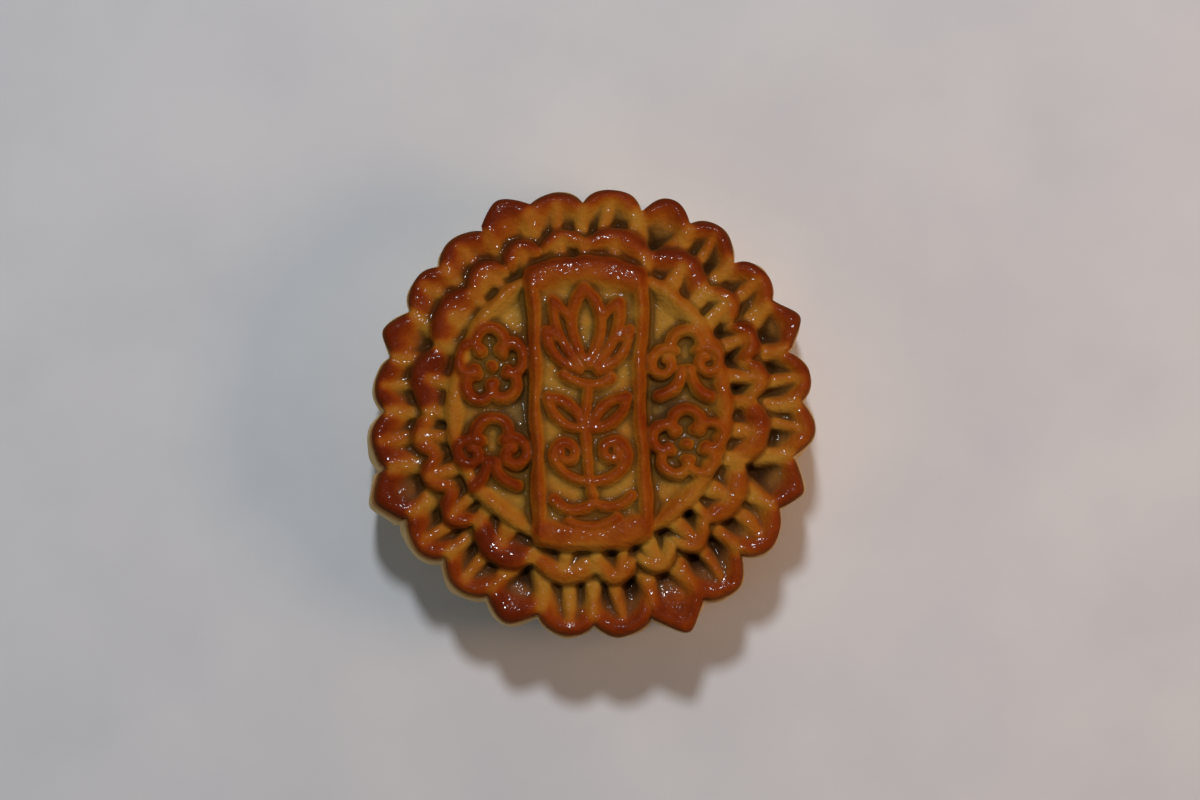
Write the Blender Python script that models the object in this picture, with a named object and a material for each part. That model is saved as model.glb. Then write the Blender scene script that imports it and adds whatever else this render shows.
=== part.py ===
"""A baked Cantonese mooncake, one solid: two tiers of petals round a dished disc, a raised plaque across it.

Lengths are in millimetres until the mesh is made. The origin is the middle of the flat base, +Z is up and the
plaque's long side lies along Y. Bearings are degrees clockwise from +Y, seen from above.
"""

import math
from collections import namedtuple

import bmesh
import bpy
import numpy as np

METRES = 0.001  # one millimetre

# Heights above the base
OUTER_CREST = 29.2
INNER_CREST = 30.8
DISC_CREST = 32.1
PLAQUE_CREST = 33.9

# Plan sizes
OUTER_PETALS = 24
OUTER_CENTRE = 35.5  # how far out the outer petals' round ends have their middles
OUTER_RADIUS = 5.35
DISC_RADIUS = 26.4
PLAQUE_HALF_WIDTH = 11.0
PLAQUE_HALF_LENGTH = 27.1
OVAL = 0.32  # by how much the petals reach further out along one line across the cake
OVAL_BEARING = -4.0
SPREAD = 1.2  # by how much the petals are longer on one side
SPREAD_BEARING = 148.0
FULLNESS = 0.7  # by how much the petals reach further out on one side of the cake
FULLER_BEARING = 185.0
MERGED = 0.32  # by how much rounder the petals are where their notches have filled most
MERGED_BEARING = 85.0
POINT_REACH = (0.0, 1.7, 0.9, 2.0, 0.8, 2.4, 0.4, 1.6)  # by how much each point stands out beyond a round end
PUFFED_BEARING = 312.0  # the side where the petals have risen most
OUTER_RIB_START = 32.0  # radius at which the lower tier's ribs start, under the upper tier
OUTER_FOOT = 33.4  # radius at which the lower tier's hollows are deepest
INNER_RIB_START = 26.0
INNER_FOOT = 26.6
DISC_STROKE = 1.35  # half width
PLAQUE_STROKE = 1.25

# Side wall
WALL_BULGE = 1.1
BULGE_LEAN = 0.2  # how much more it bulges on one side, as a share
BULGE_LEAN_BEARING = 180.0
BULGE_SAG = 1.3  # by how much it has sagged out in one place
BULGE_SAG_BEARING = 242.0
# Waves (amount, turns round the cake, rate up the wall) that dent the side
WALL_DENTS = ((0.14, 7.0, 3.0), (0.12, 19.0, -5.0), (0.10, 37.0, 8.0), (0.07, 53.0, -11.0))
WALL_WIDEST = 0.5  # as a share of its height
WALL_SCALLOP_AT_BASE = 0.7  # how much of the scallops' depth reaches the base
BASE_ROUNDING = 1.8
EDGE_ROLL = 1.7  # height of the rounded top edge

# Slow waves by which soft dough has shifted from the mould's pattern
Wave = namedtuple("Wave", "amount x_rate y_rate phase")
SHIFT_X = (
    Wave(0.30, 0.11, 0.07, 0.4),
    Wave(0.20, -0.05, 0.17, 2.1),
    Wave(0.16, 0.33, 0.24, 4.0),
    Wave(0.13, 0.62, -0.51, 1.2),
)
SHIFT_Y = (
    Wave(0.28, 0.06, -0.12, 1.7),
    Wave(0.20, 0.15, 0.06, 5.2),
    Wave(0.16, -0.27, 0.35, 0.9),
    Wave(0.13, 0.49, 0.66, 3.3),
)
MIDDLE_SLIP = (0.3, -0.6)

# Mesh
BEARINGS = 384
MIDDLE_RADIUS = 13.5  # inside this the rings' count halves each time the radius does
STEP_WIDTH = 0.6  # width of the steep walls between the tiers
TRIANGLES = 9600

CRUST_COLOUR = (0.36, 0.13, 0.025, 1.0)
CRUST_ROUGHNESS = 0.35

# A petal is a tongue with a round end, or a pointed one that stands out by point, centred on its axis.
# before and after are its half widths in degrees to its neighbours, and lift is how far it stands above them.
Petal = namedtuple("Petal", "bearing before after centre radius half_width point lift")
# A tier's depth inside its edge, how far along its nearest petal towards the tip, and that petal's lift.
Tier = namedtuple("Tier", "depth tip lift")
# What a rim does across its width: it rolls up to a crest, then falls into a dish.
Rim = namedtuple("Rim", "crest roll crest_at dish_at")
DISC_LIP = Rim(DISC_CREST + 0.2, 1.3, 1.4, 3.9)
PLAQUE_BAR = Rim(PLAQUE_CREST, 1.4, 1.3, 2.9)
PLAQUE_END = Rim(PLAQUE_CREST - 0.1, 0.9, 3.2, 6.0)
DISH_DEPTH = 1.5  # of the disc and of the plaque


def smooth_step(low, high, x):
    t = np.clip((x - low) / (high - low), 0.0, 1.0)
    return t * t * (3.0 - 2.0 * t)


def smooth_max(a, b, blend):
    share = np.clip(0.5 + 0.5 * (a - b) / blend, 0.0, 1.0)
    return b + (a - b) * share + blend * share * (1.0 - share)


def uneven(index, channel):
    """A fixed number from -1 to 1 for each petal and purpose, so that no two petals are quite alike."""
    return math.sin(12.9898 * (index + 1) + 78.233 * (channel + 1) * (index + 2.3))


def cosine(degrees):
    return np.cos(np.radians(degrees))


def facing(bearing, middle):
    """One at a bearing, falling to nothing on the opposite side of the cake."""
    return 0.5 + 0.5 * cosine(bearing - middle)


def plane_point(r, bearing):
    return r * np.sin(np.radians(bearing)), r * np.cos(np.radians(bearing))


def wavy(x, y, waves):
    return sum(wave.amount * np.sin(wave.x_rate * x + wave.y_rate * y + wave.phase) for wave in waves)


def shifted(x, y):
    """Where in the mould's pattern a point of the cake comes from: the middle has slipped from the rest."""
    middle = smooth_step(38.0, 28.0, np.hypot(x, y))
    new_x = x + wavy(x, y, SHIFT_X) + MIDDLE_SLIP[0] * middle
    new_y = y + wavy(x, y, SHIFT_Y) + MIDDLE_SLIP[1] * middle
    return new_x, new_y


def pattern_point(r, bearing):
    """The radius and bearing in the mould's pattern of a point of the cake."""
    x, y = shifted(*plane_point(r, bearing))
    return np.hypot(x, y), np.degrees(np.arctan2(x, y))


# --- petals ---


def outer_petals():
    """Sixteen round petals and eight pointed ones, a pointed one after each two round ones."""
    pitch = 360.0 / OUTER_PETALS
    narrow, even, wide = 6.9, pitch / 2, 8.1
    petals = []
    for index in range(OUTER_PETALS):
        bearing = (index + 0.5) * pitch + 0.6 * uneven(index, 0)
        place = index % 3
        before, after = ((even, wide), (narrow, narrow), (wide, even))[place]
        spread = SPREAD * max(0.0, cosine(bearing - SPREAD_BEARING)) ** 8
        centre = OUTER_CENTRE + OVAL * cosine(2.0 * (bearing - OVAL_BEARING))
        merged = MERGED * facing(bearing, MERGED_BEARING)
        centre += FULLNESS * facing(bearing, FULLER_BEARING) ** 1.5 - merged
        radius = OUTER_RADIUS + 0.25 * uneven(index, 1) + spread + merged
        half_width = radius - 0.7 - 0.5 * spread - 0.5 * merged
        point = POINT_REACH[index // 3] if place == 1 else 0.0
        lift = 0.25 * uneven(index, 2)
        petals.append(Petal(bearing, before, after, centre, radius, half_width, point, lift))
    return petals


def inner_petals():
    """Two large petals and three small ones in each quarter."""
    petals = []
    for quarter in range(4):
        start = 90.0 * quarter
        for side in (-1, 1):
            halves = (11.2, 12.0) if side < 0 else (12.0, 11.2)
            index = len(petals)
            bearing = start + 22.5 + 12.0 * side + 0.6 * uneven(index, 4)
            radius = 8.1 + 0.3 * uneven(index, 5)
            petals.append(Petal(bearing, *halves, 25.5, radius, 5.6, 0.0, 0.25 * uneven(index, 6)))
        for side in (-1, 0, 1):
            halves = (7.5 if side < 0 else 7.15, 7.5 if side > 0 else 7.15)
            index = len(petals)
            bearing = start + 67.5 + 14.3 * side + 0.5 * uneven(index, 4)
            radius = 4.4 + 0.2 * uneven(index, 5)
            petals.append(Petal(bearing, *halves, 28.9, radius, radius - 0.4, 0.0, 0.2 * uneven(index, 6)))
    return petals


def turn_from(bearing, axis):
    """Signed angle from an axis, in degrees, within half a turn."""
    return (bearing - axis + 180.0) % 360.0 - 180.0


def petal_depth(r, bearing, petal):
    """Distance inside the petal's edge, negative outside it, and how far along it towards the tip."""
    turn = turn_from(bearing, petal.bearing)
    along = r * cosine(turn)
    share = np.where(turn < 0.0, -turn / petal.before, turn / petal.after)
    across = petal.half_width * share * np.maximum(along / petal.centre, 0.6)
    towards_tip = (along - petal.centre) / petal.radius
    if petal.point == 0.0:
        return petal.radius - np.hypot(np.maximum(along - petal.centre, 0.0), across), towards_tip
    tip = petal.centre + petal.radius + petal.point
    run, rise = 0.723, 0.691  # direction across the straight edges
    blunt = 1.7
    edges = (tip - along) * run - (np.hypot(across, blunt) - blunt) * rise
    return np.minimum(edges, petal.radius - across), towards_tip


def tier_at(r, bearing, petals, blend=0.35):
    """The petals of a tier together, with soft creases where they meet."""
    depth = np.full(np.shape(r), -100.0)
    tip, lift = np.zeros(np.shape(r)), np.zeros(np.shape(r))
    for petal in petals:
        own, towards_tip = petal_depth(r, bearing, petal)
        share = np.clip(0.5 + 0.5 * (own - depth) / blend, 0.0, 1.0)
        depth = depth + (own - depth) * share + blend * share * (1.0 - share)
        wide = smooth_step(0.0, 1.0, share)
        tip += (towards_tip - tip) * wide
        lift += (petal.lift - lift) * wide
    return Tier(depth, tip, lift)


def rim_height(depth, rim, dish_depth):
    """Height across a rim: a quarter ellipse up to the crest, then a smooth fall into the dish."""
    into = np.clip(depth / rim.crest_at, 0.0, 1.0)
    roll = rim.roll * (1.0 - np.sqrt(1.0 - (1.0 - into) ** 2))
    return rim.crest - roll - dish_depth * smooth_step(rim.crest_at, rim.dish_at, depth)


def ridge(height, r, bearing, start, end, half_width, flare=0.0):
    """Raises a rib from start, where it widens by flare, to end: each a radius, a bearing and a height."""
    x0, y0 = plane_point(*start[:2])
    x1, y1 = plane_point(*end[:2])
    x, y = plane_point(r, bearing)
    dx, dy = x1 - x0, y1 - y0
    along = np.clip(((x - x0) * dx + (y - y0) * dy) / (dx * dx + dy * dy), 0.0, 1.0)
    away = np.hypot(x - x0 - along * dx, y - y0 - along * dy) / (half_width + flare * (1.0 - along))
    top = start[2] + (end[2] - start[2]) * along
    return smooth_max(height, top - 0.35 * away**2 - 1.2 * away**4, 0.35)


OUTER = outer_petals()
INNER = inner_petals()


def puffed(bearing):
    """One where the petals have risen into pads, on one side of the cake, and none where they stay dished."""
    return facing(bearing, PUFFED_BEARING) ** 3


def deepened(bearing):
    """How deep the hollows are at each bearing, which varies from petal to petal."""
    return 1.0 + 0.22 * np.sin(np.radians(5.0 * bearing + 40.0)) + 0.18 * np.sin(np.radians(11.0 * bearing))


def falling(r, start, stop):
    """None outside start, growing to one at stop, ever more steeply inwards."""
    return np.clip((start - r) / (start - stop), 0.0, 1.3) ** 1.6


def outer_height(r, bearing):
    """The lower tier: rims, dishes that deepen inwards, and ribs down the round petals and between all."""
    tier = tier_at(r, bearing, OUTER)
    puff = puffed(bearing)
    rim = Rim(OUTER_CREST + tier.lift, EDGE_ROLL, 1.3, 3.9)
    deep = (2.0 - 1.1 * puff) * deepened(bearing)
    height = rim_height(tier.depth, rim, 1.2 - 0.75 * puff) - deep * falling(r, 38.6 - 0.4 * puff, OUTER_FOOT)
    for index, petal in enumerate(OUTER):
        if index % 3 != 1:
            inner = (OUTER_RIB_START, petal.bearing + 1.2 * uneven(index, 8), OUTER_CREST - 0.8)
            outer = (38.7, petal.bearing, OUTER_CREST - 0.4 + petal.lift)
            height = ridge(height, r, bearing, inner, outer, 1.15 + 0.15 * uneven(index, 9), 0.7)
        turn = petal.bearing + petal.after
        lean, flare = ((1.4, 1.4), (-1.4, 1.4), (0.0, 0.7))[index % 3]
        inner = (OUTER_RIB_START, turn + lean + 0.8 * uneven(index, 10), OUTER_CREST - 0.6)
        outer = (37.6, turn, OUTER_CREST - 0.15)
        height = ridge(height, r, bearing, inner, outer, 1.3 + 0.15 * uneven(index, 11), flare)
    return height


def inner_ribs(quarter):
    """Each rib's drop below the crest, bearing at the disc, outer radius and bearing, and half width."""
    start = 90.0 * quarter
    middle = start + 22.5
    ribs = [(0.4, middle, 30.6, middle, 1.2)]
    for side in (-1, 1):
        large, edge = middle + 12.0 * side, start + 67.5 + 22.2 * side
        ribs.append((0.8, large, 30.2, large, 1.3))
        ribs.append((0.4, edge, 30.4, edge, 1.1))
    for side in (-1, 0, 1):
        ribs.append((0.4, start + 67.5 + 11.4 * side, 31.4, start + 67.5 + 14.3 * side, 1.2))
    return ribs


def inner_height(r, bearing):
    """The upper tier, whose ribs fan out from the edge of the disc with pits between them."""
    tier = tier_at(r, bearing, INNER)
    puff = puffed(bearing)
    tip = smooth_step(-0.2, 0.9, tier.tip)
    small = smooth_step(26.0, 19.0, np.abs(turn_from(bearing * 4.0, 270.0) / 4.0))
    rim = Rim(INNER_CREST + tier.lift, 1.4, 1.8 - 0.5 * small, 4.4 - 1.5 * small + 0.4 * tip)
    deep = (1.2 + 2.3 * small) * (1.0 - 0.35 * puff) * deepened(bearing + 9.0)
    height = rim_height(tier.depth, rim, 0.9 - 0.7 * puff) - deep * falling(r, 30.8 - 0.7 * puff, INNER_FOOT)
    for quarter in range(4):
        for number, (below, base, outer_end, tip_turn, half_width) in enumerate(inner_ribs(quarter)):
            vary = uneven(number, 12 + quarter)
            lift = 0.5 * uneven(number, 20 + quarter)
            inner = (INNER_RIB_START, base + 1.2 * vary, INNER_CREST - 0.3 + lift)
            outer = (outer_end, tip_turn, INNER_CREST - below + 0.15)
            height = ridge(height, r, bearing, inner, outer, half_width + 0.12 * vary, 0.9 + 0.3 * vary)
    return height


# --- disc, plaque and ornament ---


def arc(x, y, radius, start, stop, end_radius=None):
    """Points round a centre between two angles in degrees, spiralling in where end_radius is given."""
    count = max(4, int(abs(stop - start) / 18.0))
    end_radius = radius if end_radius is None else end_radius
    points = []
    for step in range(count + 1):
        share = step / count
        angle = math.radians(start + (stop - start) * share)
        reach = radius + (end_radius - radius) * share
        points.append((x + reach * math.cos(angle), y + reach * math.sin(angle)))
    return points


def bow(x0, y0, x1, y1, sag):
    """Points along a bowed line, bulging by sag to the right of its direction."""
    length = math.hypot(x1 - x0, y1 - y0)
    side_x, side_y = (y1 - y0) / length, -(x1 - x0) / length
    points = []
    for step in range(9):
        share = step / 8
        out = 4.0 * sag * share * (1.0 - share)
        points.append((x0 + (x1 - x0) * share + side_x * out, y0 + (y1 - y0) * share + side_y * out))
    return points


def both_sides(stroke):
    return [stroke, [(-x, y) for x, y in stroke]]


def lotus():
    """A lotus on its stem over paired leaves, tendrils and ripples, drawn up the plaque."""
    strokes = []
    strokes += both_sides(bow(0.0, 7.6, 0.0, 21.4, 2.9))
    strokes += both_sides(bow(1.4, 7.2, 5.9, 18.8, 1.6))
    strokes += both_sides(bow(5.9, 18.8, 3.0, 15.8, 0.3))
    strokes += both_sides(bow(1.8, 6.6, 7.6, 13.6, 1.8))
    strokes += both_sides(bow(7.6, 13.6, 5.6, 12.4, 0.2))
    strokes.append(bow(-4.6, 5.4, 4.6, 5.4, 1.5))
    strokes.append(bow(0.0, 4.0, 0.0, -16.8, 0.5))
    strokes += both_sides(bow(0.6, -4.2, 7.4, 1.6, 1.8))
    strokes += both_sides(bow(7.4, 1.6, 0.6, -4.2, 1.6))
    strokes += both_sides(bow(0.3, -14.0, 6.9, -9.0, 1.8) + arc(4.4, -8.8, 2.5, 0.0, 380.0, 0.9))
    strokes += both_sides(bow(0.5, -18.6, 7.4, -17.2, 1.3))
    strokes.append(bow(-4.6, -21.4, 4.6, -21.4, 1.3))
    return strokes


def blossom(x, y, size):
    """A plum blossom: five round petals about a bead."""
    strokes = [[(x, y), (x, y + 0.01)]]
    for index in range(5):
        angle = 90.0 + 72.0 * index
        middle_x = x + 0.60 * size * math.cos(math.radians(angle))
        middle_y = y + 0.60 * size * math.sin(math.radians(angle))
        strokes.append(arc(middle_x, middle_y, 0.40 * size, angle - 125.0, angle + 125.0))
    return strokes


def cloud(x, y, size):
    """A ruyi cloud: a round head between two curls, on a short tail."""
    strokes = [arc(x, y + 0.38 * size, 0.42 * size, -20.0, 200.0)]
    for side in (-1, 1):
        curl = arc(0.56 * size, -0.10 * size, 0.42 * size, 125.0, -250.0, 0.14 * size)
        strokes.append([(x + side * px, y + py) for px, py in curl])
        tail = bow(0.10 * size, -0.30 * size, 0.62 * size, -0.98 * size, 0.14 * size)
        strokes.append([(x + side * px, y + py) for px, py in tail])
    return strokes


def disc_ornament():
    """A blossom and a cloud on each side of the plaque."""
    left = blossom(-18.2, 7.6, 6.6) + cloud(-18.0, -7.4, 7.0)
    return left + blossom(18.2, -7.4, 6.6) + cloud(18.0, 8.4, 7.0)


PLAQUE_STROKES = lotus()
DISC_STROKES = disc_ornament()


def stroke_distance(x, y, strokes):
    """Distance from each point to the nearest stroke's middle line."""
    away = np.full(np.shape(x), 100.0)
    for stroke in strokes:
        for (x0, y0), (x1, y1) in zip(stroke, stroke[1:]):
            dx, dy = x1 - x0, y1 - y0
            along = np.clip(((x - x0) * dx + (y - y0) * dy) / (dx * dx + dy * dy), 0.0, 1.0)
            away = np.minimum(away, np.hypot(x - x0 - along * dx, y - y0 - along * dy))
    return away


def raised(height, away, half_width, top, floor):
    """Adds round-backed strokes that stand from floor to top."""
    back = np.clip(1.0 - (away / half_width) ** 2, 0.0, 1.0) ** 0.6
    return np.where(away < half_width, smooth_max(height, floor + (top - floor) * back, 0.25), height)


def disc_height(r, x, y):
    """A dished disc with a rounded lip, sinking a little beside the plaque."""
    sink = 0.7 * smooth_step(16.0, 11.0, np.abs(x))
    height = rim_height(DISC_RADIUS - r, DISC_LIP, DISH_DEPTH) - sink
    away = stroke_distance(x, y, DISC_STROKES)
    return raised(height, away, DISC_STROKE, DISC_CREST + 0.8, DISC_CREST - 1.9)


def depth_in_plaque(r, x):
    """Distance inside the plaque, which has straight sides and ends that follow the disc."""
    return -smooth_max(np.abs(x) - PLAQUE_HALF_WIDTH, r - PLAQUE_HALF_LENGTH, 1.2)


def plaque_height(r, x, y):
    """A framed plaque: a round bar down each side, a broader band at each end, strokes between."""
    bars = rim_height(PLAQUE_HALF_WIDTH - np.abs(x), PLAQUE_BAR, DISH_DEPTH)
    ends = rim_height(PLAQUE_HALF_LENGTH - r, PLAQUE_END, DISH_DEPTH)
    corner = -1.4 * smooth_step(1.2, 0.0, depth_in_plaque(r, x))
    height = np.minimum(smooth_max(bars, ends, 0.5), PLAQUE_CREST + corner)
    away = stroke_distance(x, y, PLAQUE_STROKES)
    return raised(height, away, PLAQUE_STROKE, PLAQUE_CREST + 0.1, PLAQUE_CREST - 2.0)


def top_height(r, bearing):
    """Height of the top, each tier standing on the one below behind a steep wall."""
    r, bearing = pattern_point(r, bearing)
    x, y = plane_point(r, bearing)
    height = outer_height(r, bearing)
    inner = smooth_step(-STEP_WIDTH, 0.1, tier_at(r, bearing, INNER).depth)
    height += (inner_height(r, bearing) - height) * inner
    height += (disc_height(r, x, y) - height) * smooth_step(-STEP_WIDTH, 0.1, DISC_RADIUS - r)
    return height + (plaque_height(r, x, y) - height) * smooth_step(-STEP_WIDTH, 0.1, depth_in_plaque(r, x))


# --- mesh ---


def edge_radius(bearing, depth_at):
    """Radius at which an edge lies, found by walking in from outside it."""
    r = np.full(len(bearing), 45.0)
    for _ in range(60):
        r += 0.7 * depth_at(*pattern_point(r, bearing))
    return r


def wall_radius(edge, bearing, share):
    """The side wall's radius at a share of its height: bulging, with its scallops softer lower down."""
    keep = WALL_SCALLOP_AT_BASE + (1.0 - WALL_SCALLOP_AT_BASE) * share
    lean = 1.0 + BULGE_LEAN * cosine(bearing - BULGE_LEAN_BEARING)
    sag = BULGE_SAG * np.maximum(cosine(bearing - BULGE_SAG_BEARING), 0.0) ** 6
    hump = 1.0 - ((share - WALL_WIDEST) / (1.0 - WALL_WIDEST)) ** 2
    dents = sum(
        amount * np.sin(np.radians(turns * bearing) + rise * share) for amount, turns, rise in WALL_DENTS
    )
    return edge.mean() + (edge - edge.mean()) * keep + (WALL_BULGE * lean + sag + dents) * hump


def ring(radius, bearing, height):
    x, y = plane_point(radius, bearing)
    return np.stack([x, y, np.broadcast_to(height, x.shape)], axis=1)


def wall_rings(edge, bearing):
    """The base's rounded edge and the bulging side."""
    wall_top = OUTER_CREST - EDGE_ROLL
    rings = []
    for angle in (90.0, 60.0, 30.0):
        up = BASE_ROUNDING * (1.0 - math.sin(math.radians(angle)))
        inset = BASE_ROUNDING * (1.0 - math.cos(math.radians(angle)))
        rings.append(ring(wall_radius(edge, bearing, up / wall_top) - inset, bearing, up))
    for share in np.linspace(BASE_ROUNDING / wall_top, 1.0, 9):
        rings.append(ring(wall_radius(edge, bearing, share), bearing, share * wall_top))
    return rings


def cake_rings():
    """Rings of points from the base's edge, up the wall and in over the top."""
    bearing = np.arange(BEARINGS) * 360.0 / BEARINGS
    outer_edge = edge_radius(bearing, lambda r, b: tier_at(r, b, OUTER).depth)
    inner_edge = edge_radius(bearing, lambda r, b: tier_at(r, b, INNER).depth)
    disc_edge = edge_radius(bearing, lambda r, b: DISC_RADIUS - r)
    rings = wall_rings(outer_edge, bearing)
    edges = (outer_edge - 0.02, inner_edge, disc_edge, np.full(BEARINGS, MIDDLE_RADIUS))
    for outside, inside, count in zip(edges, edges[1:], (20, 18, 26)):
        for step in range(count):
            share = step / count
            share = share if inside is edges[3] else 0.5 - 0.5 * math.cos(math.pi * share)
            radius = outside + (inside - outside) * share
            rings.append(ring(radius, bearing, top_height(radius, bearing)))
    return rings + middle_rings()


def middle_rings():
    """Rings whose count of points halves each time their radius does."""
    rings = []
    radius, count = MIDDLE_RADIUS, BEARINGS // 2
    while count >= 12:
        bearing = np.arange(count) * 360.0 / count
        stop = radius / 2.0
        while radius > stop + 0.01:
            rings.append(ring(np.full(count, radius), bearing, top_height(np.full(count, radius), bearing)))
            radius -= min(0.5, stop / 4.0) if count > 12 else stop / 2.0
        radius, count = stop, count // 2
    return rings


def join_rings(shape, lower, upper):
    """Faces between two rings of equal count, or with half as many points in the upper one."""
    count = len(lower)
    ratio = count // len(upper)
    for index in range(len(upper)):
        after = (index + 1) % len(upper)
        start, stop = index * ratio, (index + 1) * ratio % count
        if ratio == 2:
            middle = start + 1
            shape.faces.new((upper[index], lower[middle], lower[start]))
            shape.faces.new((upper[index], upper[after], lower[middle]))
            shape.faces.new((upper[after], lower[stop], lower[middle]))
        else:
            shape.faces.new((lower[start], upper[index], upper[after], lower[stop]))


def cake_mesh():
    """The whole cake, moved so that the middle of its outline is the origin."""
    outlines = cake_rings()
    points = np.concatenate(outlines)
    middle = np.append((points.min(0) + points.max(0))[:2] / 2, 0.0)
    shape = bmesh.new()
    rings = [[shape.verts.new((point - middle) * METRES) for point in points] for points in outlines]
    for lower, upper in zip(rings, rings[1:]):
        join_rings(shape, lower, upper)
    shape.faces.new(rings[0])
    shape.faces.new(rings[-1][::-1])
    bmesh.ops.recalc_face_normals(shape, faces=shape.faces)
    mesh = bpy.data.meshes.new("mooncake")
    shape.to_mesh(mesh)
    shape.free()
    return mesh


def crust_material():
    material = bpy.data.materials.new("crust")
    material.use_nodes = True
    shader = material.node_tree.nodes["Principled BSDF"]
    shader.inputs["Base Color"].default_value = CRUST_COLOUR
    shader.inputs["Roughness"].default_value = CRUST_ROUGHNESS
    shader.inputs["Metallic"].default_value = 0.0
    return material


def clear_scene():
    for thing in list(bpy.data.objects):
        bpy.data.objects.remove(thing, do_unlink=True)


def main():
    clear_scene()
    cake = bpy.data.objects.new("mooncake", cake_mesh())
    bpy.context.collection.objects.link(cake)
    cake.data.materials.append(crust_material())
    triangles = sum(len(face.vertices) - 2 for face in cake.data.polygons)
    thin = cake.modifiers.new("thin", "DECIMATE")
    thin.ratio = TRIANGLES / triangles
    cake.data.shade_smooth()


main()
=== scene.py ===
"""The looks of a baked Cantonese mooncake: a fine mesh of its petals, plaque and ornament under an egg glaze.

Lengths are in millimetres until the mesh is made. Bearings are degrees clockwise from +Y, seen from above.
"""

import math
from collections import namedtuple

import bpy
import numpy as np
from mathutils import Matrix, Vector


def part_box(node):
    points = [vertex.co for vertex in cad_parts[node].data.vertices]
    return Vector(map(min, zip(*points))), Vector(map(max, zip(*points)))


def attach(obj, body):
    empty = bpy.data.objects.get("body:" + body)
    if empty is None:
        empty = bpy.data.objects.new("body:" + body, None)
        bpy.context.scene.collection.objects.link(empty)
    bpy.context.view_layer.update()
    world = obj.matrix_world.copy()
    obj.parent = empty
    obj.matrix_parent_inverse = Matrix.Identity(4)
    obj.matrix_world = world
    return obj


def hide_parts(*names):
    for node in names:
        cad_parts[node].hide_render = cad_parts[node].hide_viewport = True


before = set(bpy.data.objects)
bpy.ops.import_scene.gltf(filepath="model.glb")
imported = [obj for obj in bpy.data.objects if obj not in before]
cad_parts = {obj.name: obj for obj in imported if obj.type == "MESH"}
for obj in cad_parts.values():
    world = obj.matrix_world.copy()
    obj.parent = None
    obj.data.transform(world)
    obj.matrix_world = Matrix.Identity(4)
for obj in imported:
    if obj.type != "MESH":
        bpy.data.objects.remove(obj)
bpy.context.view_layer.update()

MILLIMETRE = 0.001  # in metres

# Heights above the base
OUTER_CREST = 29.2
INNER_CREST = 30.8
DISC_CREST = 32.1
PLAQUE_CREST = 33.7

# Plan sizes
DISC_RADIUS = 26.4
PLAQUE_HALF_WIDTH = 11.0
PLAQUE_HALF_LENGTH = 27.1

# The lower tier's petals
OUTER_PETALS = 24
OUTER_CENTRE = 35.5  # how far out the round end of each is centred
OUTER_RADIUS = 5.25  # of that round end

# The upper tier's petals: two large ones and a fan of three small ones in each quarter
LARGE_MIDDLE = 22.5  # bearing midway between the large ones
LARGE_STEP = 12.0  # degrees from there to each of them
LARGE_CENTRE = 25.5
LARGE_RADIUS = 8.1
LARGE_HALF_WIDTH = 5.6
FAN_MIDDLE = 67.5  # bearing of the middle one of the fan
FAN_STEP = 14.3  # degrees from there to its neighbours
FAN_EDGE = 22.2  # degrees from there to the fan's edges
SMALL_CENTRE = 28.9
SMALL_RADIUS = 4.4

# Side wall
WALL_BULGE = 1.1
BULGE_LEAN = 0.2  # how much more it bulges on one side, as a share
BULGE_LEAN_BEARING = 180.0
BULGE_SAG = 1.3  # by how much it has sagged out in one place
BULGE_SAG_BEARING = 242.0
WALL_WIDEST = 0.5  # as a share of its height
WALL_SCALLOP_AT_BASE = 0.7
# Waves (amount, turns round the cake, rate up the wall) that dent the side
WALL_DENTS = ((0.14, 7.0, 3.0), (0.12, 19.0, -5.0), (0.10, 37.0, 8.0), (0.07, 53.0, -11.0))
BASE_ROUNDING = 1.8

# How the lower tier's petals vary round the cake
SPREAD = 1.2  # by how much the petals are longer on one side
SPREAD_BEARING = 148.0
OVAL = 0.32  # by how much the petals reach further out along one line across the cake
OVAL_BEARING = -4.0
FULLNESS = 0.7  # by how much the petals reach further out on one side of the cake
FULLER_BEARING = 185.0
MERGED = 0.32  # by how much rounder the petals are where their notches have filled most
MERGED_BEARING = 85.0
POINT_REACH = (0.0, 1.7, 0.9, 2.0, 0.8, 2.4, 0.4, 1.6)  # by how much each point stands out beyond a round end
PUFFED_BEARING = 312.0  # the side where the petals have risen most

# How the browning varies round the cake, with painted shade on one side and painted light on the other
POINT_TAN = (0.0, 0.04, 0.12, 0.12, 0.02, 0.20, 0.0, 0.08)  # how much browner each pointed petal is
LARGE_TAN = (0.02, 0.24, 0.08, 0.10, 0.02, 0.24, 0.26, 0.06)  # how much browner each large inner petal is
BROWNER_SHADED_BEARING = 265.0  # the side that has browned most, and is also painted darker as shade
# The side painted paler, as painted light
PALER_LIT_BEARING = 70.0
LIGHTER_INNER_BEARING = 155.0  # where the upper tier is lightest

# The lower tier's edge rolls down this far to the wall
EDGE_ROLL = 1.7

# Radii at which each tier's ribs start, and at which its hollows are deepest
OUTER_RIB_START = 32.0
OUTER_FOOT = 33.4
INNER_RIB_START = 26.0
INNER_FOOT = 26.6

# Mesh
BEARINGS = 768
WALL_RINGS = 15
TOP_RINGS = (29, 28, 22)  # over the lower tier, the upper tier and the disc's edge
MIDDLE_RADIUS = 20.0  # inside this the rings' count halves each time the radius does
MIDDLE_SPACING = 0.27
REACH = 45.0  # beyond every petal
CELL = 0.16  # grid on which the relief is worked out

# A petal is a tongue with a round end, or a pointed one that stands out by point, centred on its axis.
# before and after are its half widths in degrees to its neighbours, lift is how far it stands above the
# others, and tan how much browner it is.
Petal = namedtuple("Petal", "bearing before after centre radius half_width point lift tan")
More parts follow.
